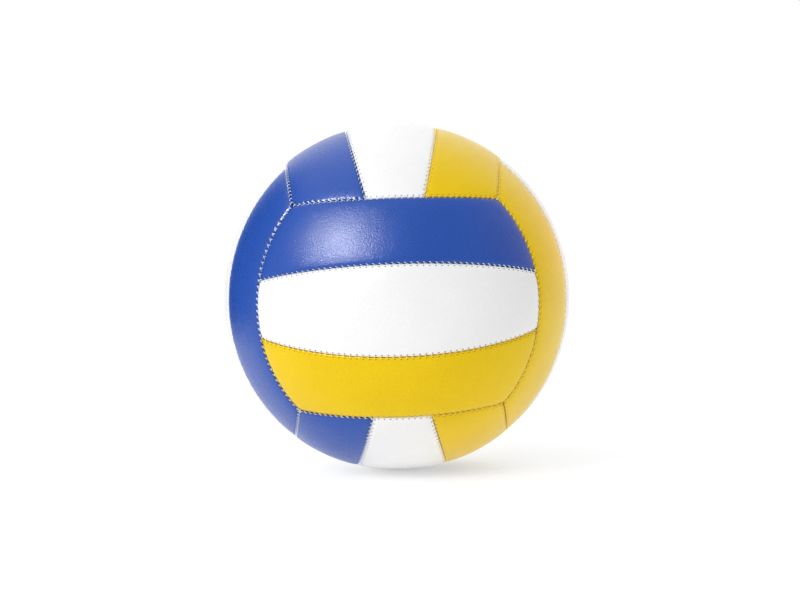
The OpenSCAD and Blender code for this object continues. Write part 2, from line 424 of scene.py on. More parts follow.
@dataclass
class StripShape:
    """Bends a flat patch to the middle strip or the first strip of the front face.

    Attributes:
        layout: The ball's sizes.
        seams: The seams round the strip.
        middle: Whether it is the middle strip.
        edge_r: How far the rolled edge reaches in from a seam.
        edge_depth: How far it falls on the way.
        surface_r: Radius that the patch is bent to.
        inset: How far its borders stay off the seams.
        ROUNDING: How far a corner is drawn in, as a share of edge_r.
        END_ROUNDS: Rounds in which the place of the strip's end is worked out.
    """

    ROUNDING = 0.2
    END_ROUNDS = 12

    layout: Layout
    seams: list[Seam]
    middle: bool
    edge_r: float
    edge_depth: float
    surface_r: float
    inset: float

    def _bounds(self, x: np.ndarray) -> tuple[np.ndarray, np.ndarray]:
        """Angles up from the face's middle plane to the strip's long sides.

        Args:
            x: Places along the strip, as shares of the ball's radius.

        Returns:
            The angles of the lower side and of the upper one.
        """
        lean = np.full_like(x, self.layout.strip_angle)
        if self.middle:
            return -lean, lean
        ring = np.sqrt(1 - x**2)
        return lean, self.layout.edge_tilt + np.arcsin(math.cos(self.layout.edge_cone) / ring)

    def _warp(self, run: np.ndarray) -> np.ndarray:
        """Distance from a seam, of a point that lies that far from it over the rounded edge."""
        quarter = self.edge_r * math.pi / 2
        rounded = self.edge_r * (1 - np.cos(np.minimum(run, quarter) / self.edge_r))
        return rounded + np.maximum(run - quarter, 0)

    def _up_share(self, up: np.ndarray, x: np.ndarray) -> np.ndarray:
        """Where a point lies between the long sides, from 0 to 1."""
        low, high = self._bounds(x)
        width = self.layout.ball_r * np.sqrt(1 - x**2) * (high - low)
        run = width + (math.pi - 2) * self.edge_r
        from_side = self._warp(np.minimum(up, 1 - up) * run) / width
        return np.where(up < 0.5, from_side, 1 - from_side)

    def _end_angle(self, up: np.ndarray) -> np.ndarray:
        """Angle from the strip's middle to its end, at each height up it."""
        tilt = self.layout.edge_tilt
        angle = np.full_like(up, self.layout.strip_half_arc)
        for _ in range(self.END_ROUNDS):
            x = np.sin(angle)
            low, high = self._bounds(x)
            lean = low + (high - low) * self._up_share(up, x)
            across = np.cos(lean) * math.cos(tilt)
            reach = np.hypot(across, math.sin(tilt))
            turned = np.arctan2(math.sin(tilt), across)
            angle = np.arccos(math.cos(self.layout.edge_cone) / reach) - turned
        return angle

    def directions(self, flat: np.ndarray) -> np.ndarray:
        """Unit vectors from the ball's centre to the patch's points.

        Args:
            flat: The patch's points, one a row.

        Returns:
            One unit vector a row, up to the seams' very lines.
        """
        across, up = flat[:, 0], flat[:, 1]
        end = self._end_angle(up)
        ball_r = self.layout.ball_r
        run = ball_r * end + (math.pi / 2 - 1) * self.edge_r
        from_end = self._warp((1 - np.abs(across)) * run) / ball_r
        angle = np.sign(across) * (end - from_end)
        x = np.sin(angle)
        low, high = self._bounds(x)
        lean = low + (high - low) * self._up_share(up, x)
        ring = np.cos(angle)
        return np.stack([x, -ring * np.cos(lean), ring * np.sin(lean)], axis=1)

    def bend(self, flat: np.ndarray) -> "BentStrip":
        """Bends the patch and rounds its borders and its corners.

        Args:
            flat: The patch's points, one a row.

        Returns:
            The points on the smooth rounded strip, with what the stitching needs.
        """
        aim = self.directions(flat)
        ball_r, edge_r = self.layout.ball_r, self.edge_r
        measures = [seam.measure(aim, ball_r) for seam in self.seams]
        far = np.stack([m[0] for m in measures])
        inward = np.stack([m[2] for m in measures])
        near = np.maximum(edge_r - far, 0)
        order = np.argsort(-near, axis=0)[:2]
        pick = np.arange(len(aim))
        first, second = near[order[0], pick], near[order[1], pick]
        into_a, into_b = inward[order[0], pick], inward[order[1], pick]
        # The square corner of the flat patch is drawn in towards the quarter of a round one.
        drawn = self.ROUNDING * (1 - first / np.maximum(np.hypot(first, second), 1e-9))
        move_a = first * drawn + self.inset * first / edge_r
        move_b = second * drawn + self.inset * second / edge_r
        lean = np.sum(into_a * into_b, axis=1)
        square = np.maximum(1 - lean**2, 1e-9)
        step_a = (move_a - lean * move_b) / square
        step_b = (move_b - lean * move_a) / square
        alone = second <= 0
        step_a = np.where(alone, move_a, step_a)
        step_b = np.where(alone, 0, step_b)
        aim = aim + (step_a[:, None] * into_a + step_b[:, None] * into_b) / ball_r
        aim /= np.linalg.norm(aim, axis=1)[:, None]
        side = first[:, None] * into_a + second[:, None] * into_b
        side /= np.maximum(np.linalg.norm(side, axis=1), 1e-9)[:, None]
        lean = np.minimum((first**4 + second**4) ** 0.25 / edge_r, 1)
        level = np.sqrt(1 - lean**2)
        through = aim * level[:, None] - side * lean[:, None]
        sink = self.edge_depth * (1 - level)
        return BentStrip(aim, sink, side, through, lean, self.seams, ball_r, self.surface_r)


@dataclass
class BentStrip:
    """A patch bent to the ball, as what each of its points has.

    Attributes:
        aim: Direction from the ball's centre.
        sink: Depth below the face.
        side: Direction straight away from the seam.
        through: Direction out through the leather, from its inner skin.
        lean: 0 on the face, rising to 1 at the foot of the rolled edge.
        seams: The seams round the strip.
        ball_r: Radius of the ball.
        surface_r: Radius of the surface that the patch is bent to.
    """

    aim: np.ndarray
    sink: np.ndarray
    side: np.ndarray
    through: np.ndarray
    lean: np.ndarray
    seams: list[Seam]
    ball_r: float
    surface_r: float

    def points(self) -> np.ndarray:
        """The smooth outer surface's points."""
        return self.aim * (self.surface_r - self.sink)[:, None]

    def off_seams(self, row: StitchRow) -> list[tuple[np.ndarray, np.ndarray, float, np.ndarray]]:
        """Measures the points against each seam.

        Args:
            row: The stitches.

        Returns:
            For each seam the distance into the strip, the place along the seam, the pitch of the
            stitches there, and the distance from the seam's nearer end.
        """
        found = []
        for seam in self.seams:
            far, along, _ = seam.measure(self.aim, self.ball_r)
            reach = seam.reach(self.ball_r)
            found.append((far, along, row.fitted_pitch(reach), reach - np.abs(along)))
        return found


@dataclass
class SewnRelief:
    """What sewing and inflating do to a cover's face.

    Attributes:
        row: The stitches.
        crown: How far the foam falls away toward the seams, past the rolled edge.
        crown_reach: How far from a seam that shows.
        pull: How far a stitch draws the rolled edge down.
        pull_reach: How far from a seam that shows.
        hole: Depth of a needle's hole.
        hole_r: Radius of the dimple round it.
        pucker: Depth of the puckers that run into the cover from the seam.
        pucker_reach: How far from a seam they run.
        gather: How many times deeper still they are at a corner.
        gather_reach: How far from a corner that shows.
        ripple: Depth of the slow unevenness of the face.
        opening: How far a rolled edge stands off from the seam between two stitches.
        opening_reach: How far from a seam that shows.
        WAVES: Lengths of the waves that make the ripple.
        FOLDS: Lengths of the waves that make the puckers.
    """

    WAVES = (55 * MM, 34 * MM, 21 * MM)
    FOLDS = (3.1 * MM, 4.7 * MM, 7.3 * MM, 12 * MM)

    row: StitchRow
    crown: float = 0.28 * MM
    crown_reach: float = 4 * MM
    pull: float = 0.16 * MM
    pull_reach: float = 1.7 * MM
    hole: float = 0.24 * MM
    hole_r: float = 0.34 * MM
    pucker: float = 0.10 * MM
    pucker_reach: float = 3.2 * MM
    gather: float = 1.5
    gather_reach: float = 9 * MM
    ripple: float = 0.12 * MM
    opening: float = 0.10 * MM
    opening_reach: float = 1.2 * MM

    def depths(self, strip: BentStrip, seed: int) -> np.ndarray:
        """How far each point of the face lies below the smooth strip.

        Args:
            strip: The smooth strip.
            seed: Seed of this cover's own unevenness.

        Returns:
            One depth a point.
        """
        chance = np.random.RandomState(seed)
        depth = self._waves(strip.aim * strip.ball_r, chance) * self.ripple
        for far, along, pitch, corner in strip.off_seams(self.row):
            far = np.maximum(far, 0)
            phase = along / pitch
            off = (phase - np.round(phase)) * pitch
            drawn = 0.5 + 0.5 * np.cos(2 * math.pi * phase)
            depth += self.crown * np.exp(-((far / self.crown_reach) ** 2))
            depth += self.pull * drawn * np.exp(-((far / self.pull_reach) ** 2))
            hole = (far - self.row.hole_at - self.row.HOLE_BEHIND) ** 2 + off**2
            depth += self.hole * np.exp(-hole / self.hole_r**2)
            gathered = 1 + self.gather * np.exp(-((corner / self.gather_reach) ** 2))
            folds = self._folds(along, chance) * gathered
            depth += self.pucker * folds * np.exp(-((far / self.pucker_reach) ** 2))
        return depth

    def openings(self, strip: BentStrip) -> np.ndarray:
        """How far each point is drawn away from the seam, between the stitches.

        Args:
            strip: The smooth strip.

        Returns:
            One distance a point.
        """
        total = np.zeros(len(strip.aim))
        for far, along, pitch, _ in strip.off_seams(self.row):
            apart = 0.5 - 0.5 * np.cos(2 * math.pi * along / pitch)
            total += self.opening * apart * np.exp(-((np.maximum(far, 0) / self.opening_reach) ** 2))
        return total

    def _waves(self, points: np.ndarray, chance: np.random.RandomState) -> np.ndarray:
        """Slow waves over a cover, from 0 to 1."""
        total = np.zeros(len(points))
        for length in self.WAVES:
            way = chance.normal(size=3)
            way /= np.linalg.norm(way)
            total += np.sin(2 * math.pi * (points @ way) / length + chance.uniform(0, 2 * math.pi))
        return 0.5 + 0.5 * total / len(self.WAVES)

    def _folds(self, along: np.ndarray, chance: np.random.RandomState) -> np.ndarray:
        """Uneven folds along a seam, from 0 to 1."""
        total = np.zeros(len(along))
        for length in self.FOLDS:
            total += np.sin(2 * math.pi * along / length + chance.uniform(0, 2 * math.pi))
        return np.clip(0.35 + 0.65 * total / 2, 0, 1)


def hex_colour(text: str) -> tuple[float, float, float, float]:
    """Turns an sRGB hex colour to Blender's linear one.

    Args:
        text: Six hex digits after a hash sign.

    Returns:
        Linear red, green and blue, and an alpha of 1.
    """
    parts = [int(text[i:i + 2], 16) / 255 for i in (1, 3, 5)]
    linear = [c / 12.92 if c <= 0.04045 else ((c + 0.055) / 1.055) ** 2.4 for c in parts]
    return (*linear, 1.0)


def add_node(tree: bpy.types.NodeTree, kind: str, links: dict | None = None,
             **settings: Any) -> bpy.types.Node:
    """Adds a shader node, sets it and links it.

    Args:
        tree: The node tree.
        kind: The node's type, without its prefix.
        links: What feeds each input, by the input's name or number: a socket, or a node, whose
            first output in use it is.
        **settings: Attributes of the node, and values of its inputs under inputs.

    Returns:
        The node.
    """
    node = tree.nodes.new(f"ShaderNode{kind}")
    values = settings.pop("inputs", {})
    for name, value in settings.items():
        setattr(node, name, value)
    for name, value in values.items():
        node.inputs[name].default_value = value
    for name, source in (links or {}).items():
        if isinstance(source, bpy.types.Node):
            source = next(output for output in source.outputs if output.enabled)
        tree.links.new(source, node.inputs[name])
    return node


def new_material(name: str) -> tuple[bpy.types.Material, bpy.types.NodeTree]:
    """Makes an empty node material and its tree."""
    material = bpy.data.materials.new(name)
    material.use_nodes = True
    material.node_tree.nodes.clear()
    return material, material.node_tree


def close_material(tree: bpy.types.NodeTree, shader: bpy.types.Node) -> None:
    """Links the finished shader to the material's output."""
    add_node(tree, "OutputMaterial", {"Surface": shader})


@dataclass(frozen=True)
class CoatedLeather:
    """Polyurethane-coated microfibre, embossed with a fine pebble and top-coated satin.

    The embossed pebbles break up the highlight, and the top coat gives pale reflections where the
    ball turns away. Painted shade darkens the creases between the pebbles and the bottom of each
    seam, and painted shade with grime darkens the needle's holes.

    Attributes:
        name: Name of the material.
        colour: Colour of the coating.
        crease_shade_colour: Colour of the painted shade in the creases between the pebbles.
        hole_colour: Colour of the shade and the grime in a needle's hole.
        seam_shade_colour: Colour of the painted shade along the bottom of a seam.
        pebble: Width of a pebble. The real one is about half of this, too fine to show.
        tint: Tint of the satin coating's reflection, as seen from straight above.
        relief: Height of the pebbles.
        roughness: Roughness of the satin coating.
    """

    name: str
    colour: str
    crease_shade_colour: str
    hole_colour: str
    seam_shade_colour: str
    tint: str
    pebble: float = 0.75 * MM
    relief: float = 0.14 * MM
    roughness: float = 0.26

    def make(self, row: StitchRow) -> bpy.types.Material:
        """Makes the material.

        Args:
            row: The stitches, for the holes that the needle leaves.

        Returns:
            The material.
        """
        material, tree = new_material(self.name)
        place = add_node(tree, "TexCoord").outputs["Object"]
        pebbles = add_node(
            tree, "TexVoronoi", {"Vector": place}, feature="SMOOTH_F1",
            inputs={"Scale": 1 / self.pebble, "Smoothness": 0.6, "Randomness": 0.9})
        fine = add_node(
            tree, "TexNoise", {"Vector": place},
            inputs={"Scale": 1 / (0.45 * self.pebble), "Detail": 3.0, "Roughness": 0.6})
        slow = add_node(
            tree, "TexNoise", {"Vector": place},
            inputs={"Scale": 1 / (28 * MM), "Detail": 2.0, "Roughness": 0.5})
        # Painted shade: the colour darkens in the creases between the pebbles.
        crease_shade_mask = add_node(
            tree, "MapRange", {"Value": pebbles},
            inputs={"From Min": 0.35, "From Max": 0.75, "To Min": 0.0, "To Max": 0.22})
        tone = add_node(
            tree, "MapRange", {"Value": slow},
            inputs={"From Min": 0.35, "From Max": 0.65, "To Min": 0.0, "To Max": 0.12})
        depth = add_node(tree, "Math", {0: crease_shade_mask, 1: tone}, operation="ADD")
        base = add_node(
            tree, "Mix", {"Factor": depth}, data_type="RGBA",
            inputs={6: hex_colour(self.colour), 7: hex_colour(self.crease_shade_colour)})
        # The seam map holds the place along the nearest seam, in stitches, and off it, in mm.
        seam_map = add_node(tree, "UVMap", uv_map=Cover.SEAM_MAP)
        places = add_node(tree, "SeparateXYZ", {0: seam_map})
        off_seam = places.outputs["Y"]
        holes = self._holes(tree, row, places)
        # The leather is stretched smooth over the rolled edge, and handling polishes it there.
        grain = add_node(
            tree, "MapRange", {"Value": off_seam},
            inputs={"From Min": 0.6, "From Max": 2.4, "To Min": 0.25, "To Max": 1.0})
        # Painted shade along the bottom of a seam: the colour darkens toward the seam's line.
        seam_shade_mask = add_node(
            tree, "MapRange", {"Value": off_seam}, interpolation_type="SMOOTHSTEP",
            inputs={"From Min": 0.2, "From Max": 0.55, "To Min": 0.9, "To Max": 0.0})
        seam_shaded = add_node(
            tree, "Mix", {"Factor": seam_shade_mask, 6: base}, data_type="RGBA",
            inputs={7: hex_colour(self.seam_shade_colour)})
        # Painted shade, with grime, in the needle's holes.
        holes_shade_and_grime = add_node(
            tree, "Mix", {"Factor": holes, 6: seam_shaded}, data_type="RGBA",
            inputs={7: hex_colour(self.hole_colour)})
        gloss = add_node(
            tree, "MapRange", {"Value": fine},
            inputs={"From Min": 0.3, "From Max": 0.7,
                    "To Min": self.roughness - 0.14, "To Max": self.roughness - 0.05})
        worn = add_node(tree, "Math", {0: grain, 2: gloss}, operation="MULTIPLY_ADD", inputs={1: 0.1})
        height = add_node(
            tree, "Math", {0: fine, 2: pebbles}, operation="MULTIPLY_ADD", inputs={1: 0.5})
        bump = add_node(
            tree, "Bump", {"Height": height, "Strength": grain}, invert=True,
            inputs={"Distance": self.relief})
        shader = add_node(
            tree, "BsdfPrincipled", {"Base Color": holes_shade_and_grime, "Roughness": worn, "Normal": bump},
            inputs={"IOR": 1.42, "Specular Tint": hex_colour(self.tint)})
        close_material(tree, shader)
        return material

    @staticmethod
    def _holes(tree: bpy.types.NodeTree, row: StitchRow, places: bpy.types.Node) -> bpy.types.Node:
        """Masks the needle's holes, from the cover's seam map.

        Args:
            tree: The material's tree.
            row: The stitches.
            places: The node that gives the place along the seam and off it.

        Returns:
            A node that gives 1 in a hole and 0 elsewhere.
        """
        wrapped = add_node(
            tree, "Math", {0: places.outputs["X"]}, operation="WRAP", inputs={1: 0.5, 2: -0.5})
        off = add_node(tree, "Math", {0: wrapped}, operation="MULTIPLY", inputs={1: row.pitch / MM})
        out = add_node(
            tree, "Math", {0: places.outputs["Y"]}, operation="SUBTRACT",
            inputs={1: (row.hole_at + row.HOLE_BEHIND) / MM})
        offset = add_node(tree, "CombineXYZ", {0: off, 1: out})
        far = add_node(tree, "VectorMath", {0: offset}, operation="LENGTH")
        mask = add_node(
            tree, "MapRange", {"Value": far}, interpolation_type="SMOOTHSTEP",
            inputs={"From Min": 0.28, "From Max": 0.58, "To Min": 0.95, "To Max": 0.0})
        return mask


@dataclass(frozen=True)
class TwistedThread:
    """Three-ply polyester sewing thread: its twisted plies show as slanting ridges.

    A weak emission paints light on it, which keeps it pale on the side turned from the lamp and
    in the shade of the seam.

    Attributes:
        name: Name of the material.
        colour: Colour on top of a ply.
        shade: Colour between two plies.
        glow: Colour of the painted light that the thread gives out.
        painted_glow_level: Its strength.
        plies: Ridges along a millimetre of thread.
    """

    name: str
    colour: str
    shade: str
    glow: str
    painted_glow_level: float
    plies: float = 2.2

    def make(self) -> bpy.types.Material:
        """Makes the material, on the thread's own map of along and round."""
        material, tree = new_material(self.name)
        place = add_node(tree, "UVMap", uv_map=StitchLine.THREAD_MAP)
        ply = add_node(
            tree, "TexWave", {"Vector": place}, bands_direction="DIAGONAL",
            inputs={"Scale": self.plies, "Distortion": 0.6, "Detail": 1.0})
        colour = add_node(
            tree, "Mix", {"Factor": ply.outputs["Fac"]}, data_type="RGBA",
            inputs={6: hex_colour(self.shade), 7: hex_colour(self.colour)})
        bump = add_node(
            tree, "Bump", {"Height": ply.outputs["Fac"]},
            inputs={"Strength": 0.8, "Distance": 0.08 * MM})
        shader = add_node(
            # The emission is painted light, which keeps the thread pale in shade.
            tree, "BsdfPrincipled", {"Base Color": colour, "Normal": bump},
            inputs={"Roughness": 0.6, "Sheen Weight": 0.3, "Sheen Roughness": 0.4,
                    "Emission Color": hex_colour(self.glow), "Emission Strength": self.painted_glow_level})
        close_material(tree, shader)
        return material


@dataclass(frozen=True)
class CellFoam:
    """Closed-cell foam sheet, die cut: matt, with a skin of tiny cells.

    Attributes:
        name: Name of the material.
        colour: Colour on top of a cell.
        shade: Colour between the cells.
        cell: Width of a cell.
    """

    name: str = "closed_cell_foam"
    colour: str = "#ded9c9"
    shade: str = "#bcb5a0"
    cell: float = 0.6 * MM

    def make(self) -> bpy.types.Material:
        """Makes the material."""
        material, tree = new_material(self.name)
        place = add_node(tree, "TexCoord").outputs["Object"]
        cells = add_node(tree, "TexVoronoi", {"Vector": place}, inputs={"Scale": 1 / self.cell})
        colour = add_node(
            tree, "Mix", {"Factor": cells}, data_type="RGBA",
            inputs={6: hex_colour(self.shade), 7: hex_colour(self.colour)})
        bump = add_node(tree, "Bump", {"Height": cells}, inputs={"Strength": 0.6, "Distance": 0.1 * MM})
        shader = add_node(
            tree, "BsdfPrincipled", {"Base Color": colour, "Normal": bump}, inputs={"Roughness": 0.9})
        close_material(tree, shader)
        return material


@dataclass(frozen=True)
class MouldedRubber:
    """Moulded rubber: dull, with the faint bloom and the flow marks of the press.

    Attributes:
        name: Name of the material.
        colour: Colour of the rubber.
        bloom: Colour of the powdery bloom on it.
        roughness: Roughness of the moulded face.
    """

    name: str
    colour: str
    bloom: str
    roughness: float

    def make(self) -> bpy.types.Material:
        """Makes the material."""
        material, tree = new_material(self.name)
        place = add_node(tree, "TexCoord").outputs["Object"]
        cloud = add_node(
            tree, "TexNoise", {"Vector": place},
            inputs={"Scale": 1 / (3 * MM), "Detail": 4.0, "Roughness": 0.6})
        grit = add_node(
            tree, "TexNoise", {"Vector": place}, inputs={"Scale": 1 / (0.25 * MM), "Detail": 2.0})
        dust = add_node(
            tree, "MapRange", {"Value": cloud},
            inputs={"From Min": 0.45, "From Max": 0.75, "To Min": 0.0, "To Max": 0.5})
        colour = add_node(
            tree, "Mix", {"Factor": dust}, data_type="RGBA",
            inputs={6: hex_colour(self.colour), 7: hex_colour(self.bloom)})
        gloss = add_node(
            tree, "MapRange", {"Value": cloud},
            inputs={"From Min": 0.3, "From Max": 0.7,
                    "To Min": self.roughness - 0.08, "To Max": self.roughness + 0.08})
        bump = add_node(tree, "Bump", {"Height": grit}, inputs={"Strength": 0.5, "Distance": 0.03 * MM})
        shader = add_node(
            tree, "BsdfPrincipled", {"Base Color": colour, "Roughness": gloss, "Normal": bump},
            inputs={"IOR": 1.52})
        close_material(tree, shader)
        return material


# Each leather: name, colour, painted shade in the pebbles' creases, painted shade and grime in the
# needle's holes, painted shade along the bottom of a seam, and the tint of the gloss.
LEATHERS = {
    Shade.BLUE: CoatedLeather(
        "blue_coated_leather", "#2350ac", "#163d8b", "#0c1738", "#101f50", "#ffffff"),
    Shade.WHITE: CoatedLeather(
        "white_coated_leather", "#f3f3f4", "#e2e2e4", "#3c3a38", "#e0ddd8", "#ffffff"),
    Shade.YELLOW: CoatedLeather(
        "yellow_coated_leather", "#ebc816", "#cda206", "#7a6114", "#a8861c", "#ffe27a"),
}
# Each thread: name, colour on a ply, colour between the plies, and the colour and strength of the
# painted light that it gives out.
THREADS = (
    TwistedThread("white_polyester_thread", "#fbfcff", "#e8eefc", "#e2efff", 0.22),
    TwistedThread("yellow_polyester_thread", "#fff09a", "#f8dc68", "#ffe27a", 0.18),
)
FOAM = CellFoam()
BLADDER_RUBBER = MouldedRubber("butyl_rubber", "#2b2b2d", "#4a4a4c", 0.6)
VALVE_RUBBER = MouldedRubber("valve_rubber", "#dcdad3", "#efeee9", 0.5)


def add_piece(mesh: bpy.types.Mesh, name: str, material: bpy.types.Material,
              node: str) -> bpy.types.Object:
    """Turns a mesh into a piece of the ball that stands for a CAD node.

    Args:
        mesh: The finished mesh, in the ball's frame.
        name: Name of the piece.
        material: Its finish.
        node: The CAD node that it stands for.

    Returns:
        The piece.
    """
    mesh.materials.clear()
    mesh.materials.append(material)
    mesh.polygons.foreach_set("use_smooth", np.ones(len(mesh.polygons), bool))
    mesh.name = name
    piece = bpy.data.objects.new(name, mesh)
    bpy.context.scene.collection.objects.link(piece)
    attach(piece, BODY)
    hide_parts(node)
    log.info("%s: %d faces, in place of %s", name, len(mesh.polygons), node)
    return piece


def mesh_points(mesh: bpy.types.Mesh) -> np.ndarray:
    """A mesh's points, one a row."""
    points = np.zeros(len(mesh.vertices) * 3)
    mesh.vertices.foreach_get("co", points)
    return points.reshape(-1, 3)


def set_mesh_points(mesh: bpy.types.Mesh, points: np.ndarray) -> None:
    """Moves a mesh's points."""
    mesh.vertices.foreach_set("co", points.astype(np.float32).ravel())
    mesh.update()


@dataclass
class Cover:
    """The eighteen covers: thin coated leather, rolled in at every seam.

    Attributes:
        layout: The ball's sizes.
        plan: Its seams.
        row: Its stitches.
        thickness: Thickness of the leather.
        edge_r: How far the rolled edge reaches in from a seam.
        edge_depth: How far it falls on the way.
        seam_depth: How far the turned-in edge reaches below the ball's surface.
        valve_hole_d: Diameter of the hole for the valve.
        rim_dip: How far the leather dips at that hole.
        rim_reach: How far from the hole that shows.
        cell: Size of the faces of the mesh in a cover's middle.
        fine_bands: Distances from the border within which they are halved, one after another.
        rows: Rows of faces down the turned-in edge.
        relief: What sewing does to the face.
    """

    layout: Layout
    plan: SeamPlan
    row: StitchRow
    thickness: float = 1.2 * MM
    edge_r: float = 2.4 * MM
    edge_depth: float = 0.8 * MM
    seam_depth: float = 5.5 * MM
    valve_hole_d: float = 6.4 * MM
    rim_dip: float = 0.45 * MM
    rim_reach: float = 0.7 * MM
    cell: float = 1.5 * MM
    fine_bands: tuple[float, float] = (5 * MM, 3.4 * MM)
    rows: int = 3
    relief: SewnRelief = field(init=False)

    SEAM_MAP = "seam_map"

    def __post_init__(self) -> None:
        """Sets the relief that sewing gives the covers."""
        self.relief = SewnRelief(self.row)

    def _patch(self, middle: bool, holed: bool) -> Patch:
        """The flat patch of a strip."""
        roll = (math.pi - 2) * self.edge_r
        length, width = self.layout.flat_size(middle)
        return Patch(length + roll, width + roll, self.cell, self.fine_bands, self.rows,
                     self.valve_hole_d / 2 if holed else 0.0)

    def build(self, materials: dict[Shade, bpy.types.Material]) -> list[bpy.types.Object]:
        """Makes and dresses the covers.

        Args:
            materials: The finish of each colour.

        Returns:
            The pieces.
        """
        kinds = {"outer": (False, False), "middle": (True, False), "valve": (True, True)}
        flats = {kind: self._patch(*kind).build(f"flat_{name}") for name, kind in kinds.items()}
        bent = {kind: self._shape(kind[0]).bend(mesh_points(mesh)) for kind, mesh in flats.items()}
        pieces = []
        for seed, place in enumerate(strip_places()):
            kind = (place.middle, place.valve)
            mesh = flats[kind].copy()
            self._shape_mesh(mesh, bent[kind], place, seed)
            pieces.append(add_piece(mesh, f"{place.name}_panel", materials[place.shade],
                                    f"{place.name}_cover"))
        for mesh in flats.values():
            bpy.data.meshes.remove(mesh)
        return pieces

    def _shape(self, middle: bool) -> StripShape:
        """The shape of the covers of one kind."""
        return StripShape(self.layout, self.plan.round_strip(middle), middle, self.edge_r,
                          self.edge_depth, self.layout.ball_r, self.layout.seam_gap / 2)

    def _shape_mesh(self, mesh: bpy.types.Mesh, bent: BentStrip, place: StripPlace, seed: int) -> None:
        """Bends a flat copy to one cover.

        Args:
            mesh: The flat copy.
            bent: The smooth strip of its kind.
            place: The strip that it covers.
            seed: Seed of the cover's unevenness.
        """
        rows = mesh_points(mesh)[:, 2]
        inner = rows < Patch.INNER / 2
        step = np.where(inner, rows - Patch.INNER, rows)
        points = bent.points()
        # The turned-in edge runs straight down from the end of the rolled one.
        down = (self.seam_depth - self.edge_depth) * (-step) / self.rows
        points -= bent.aim * down[:, None]
        depth = self.relief.depths(bent, seed) * (step >= -0.5)
        if place.valve:
            depth += self._valve_rim(bent)
        points += bent.side * self.relief.openings(bent)[:, None]
        outer = points - bent.aim * depth[:, None]
        lower = points - bent.through * self.thickness
        self._map_seams(mesh, bent)
        set_mesh_points(mesh, place.turned(np.where(inner[:, None], lower, outer)))

    def _valve_rim(self, bent: BentStrip) -> np.ndarray:
        """How far the cover's face dips round the valve's hole."""
        off = np.hypot(bent.aim[:, 0], bent.aim[:, 2]) * bent.ball_r - self.valve_hole_d / 2
        return self.rim_dip * np.exp(-((np.maximum(off, 0) / self.rim_reach) ** 2))

    def _map_seams(self, mesh: bpy.types.Mesh, bent: BentStrip) -> None:
        """Stores each point's place along the nearest seam, in stitches, and off it, in mm."""
        measures = bent.off_seams(self.row)
        far = np.stack([m[0] for m in measures])
        along = np.stack([along / pitch for _, along, pitch, _ in measures])
        nearest = np.argmin(far, axis=0)
        pick = np.arange(len(nearest))
        pairs = np.stack([along[nearest, pick], far[nearest, pick] / MM], axis=1)
        layer = mesh.uv_layers.new(name=self.SEAM_MAP)
        loops = np.zeros(len(mesh.loops), np.int32)
        mesh.loops.foreach_get("vertex_index", loops)
        layer.data.foreach_set("uv", pairs[loops].astype(np.float32).ravel())


@dataclass
class FoamPad:
    """The eighteen foam pads bonded inside the covers.

    Attributes:
        layout: The ball's sizes.
        plan: Its seams.
        cover_t: Thickness of the leather.
        glue_t: Thickness of the glue under it.
        thickness: Thickness of the foam.
        clearance: Gap between a pad's side and the cover's turned-in edge.
        edge_r: Rounding of a pad's outer edge.
        hole_d: Diameter of the hole for the valve.
        cell: Size of the faces of the mesh in a pad's middle.
        fine_band: Distance from the border within which they are halved.
    """

    layout: Layout
    plan: SeamPlan
    cover_t: float = 1.2 * MM
    glue_t: float = 0.1 * MM
    thickness: float = 3 * MM
    clearance: float = 0.4 * MM
    edge_r: float = 0.8 * MM
    hole_d: float = 10 * MM
    cell: float = 3 * MM
    fine_band: float = 2 * MM

    def build(self, material: bpy.types.Material) -> list[bpy.types.Object]:
        """Makes and dresses the pads.

        Args:
            material: The foam.

        Returns:
            The pieces.
        """
        layout = self.layout
        inset = layout.seam_gap / 2 + self.cover_t + self.clearance
        outer_r = layout.ball_r - self.cover_t - self.glue_t
        reach = self.edge_r + inset
        pieces = []
        for place in strip_places():
            patch = Patch(*layout.flat_size(place.middle), self.cell, fine_bands=(self.fine_band,),
                          hole_r=self.hole_d / 2 if place.valve else 0.0)
            mesh = patch.build(place.name)
            flat = mesh_points(mesh)
            seams = self.plan.round_strip(place.middle)
            bent = StripShape(layout, seams, place.middle, reach, reach, outer_r, 0.0).bend(flat)
            points = self._inset(bent, inset, flat[:, 2] < Patch.INNER / 2)
            set_mesh_points(mesh, place.turned(points))
            piece = add_piece(mesh, f"{place.name}_foam", material, f"{place.name}_pad")
            pieces.append(piece)
        return pieces

    def _inset(self, bent: BentStrip, inset: float, inner: np.ndarray) -> np.ndarray:
        """Draws a bent pad in from its cover's turned-in edges.

        Args:
            bent: The pad, bent out to the seams.
            inset: Its distance from the seams.
            inner: Which points are on its inner face.

        Returns:
            The points.
        """
        aim = bent.aim + bent.side * (inset * bent.lean / bent.ball_r)[:, None]
        aim /= np.linalg.norm(aim, axis=1)[:, None]
        sink = self.edge_r * (1 - np.sqrt(1 - bent.lean**2))
        depth = np.where(inner, self.thickness, np.minimum(sink, self.thickness / 2))
        return aim * (bent.surface_r - depth)[:, None]


@dataclass
class ColourMap:
    """Tells which colour of cover lies at a place on the ball, from the ball's sizes and seams."""

    layout: Layout
    plan: SeamPlan

    def __post_init__(self) -> None:
        """Turns the seams round each kind of strip to every cover."""
        self.covers = [
            ([seam.turned(place.turn) for seam in self.plan.round_strip(place.middle)], place.shade)
            for place in strip_places()]

    def at(self, places: Sequence[Vector]) -> list[Shade]:
        """The colours at places: of the cover, each time, whose seams all lie beyond the place."""
        aims = np.array([place.normalized() for place in places])
        reach = [
            np.min([seam.measure(aims, self.layout.ball_r)[0] for seam in seams], axis=0)
            for seams, _ in self.covers]
        return [self.covers[number][1] for number in np.argmax(reach, axis=0)]


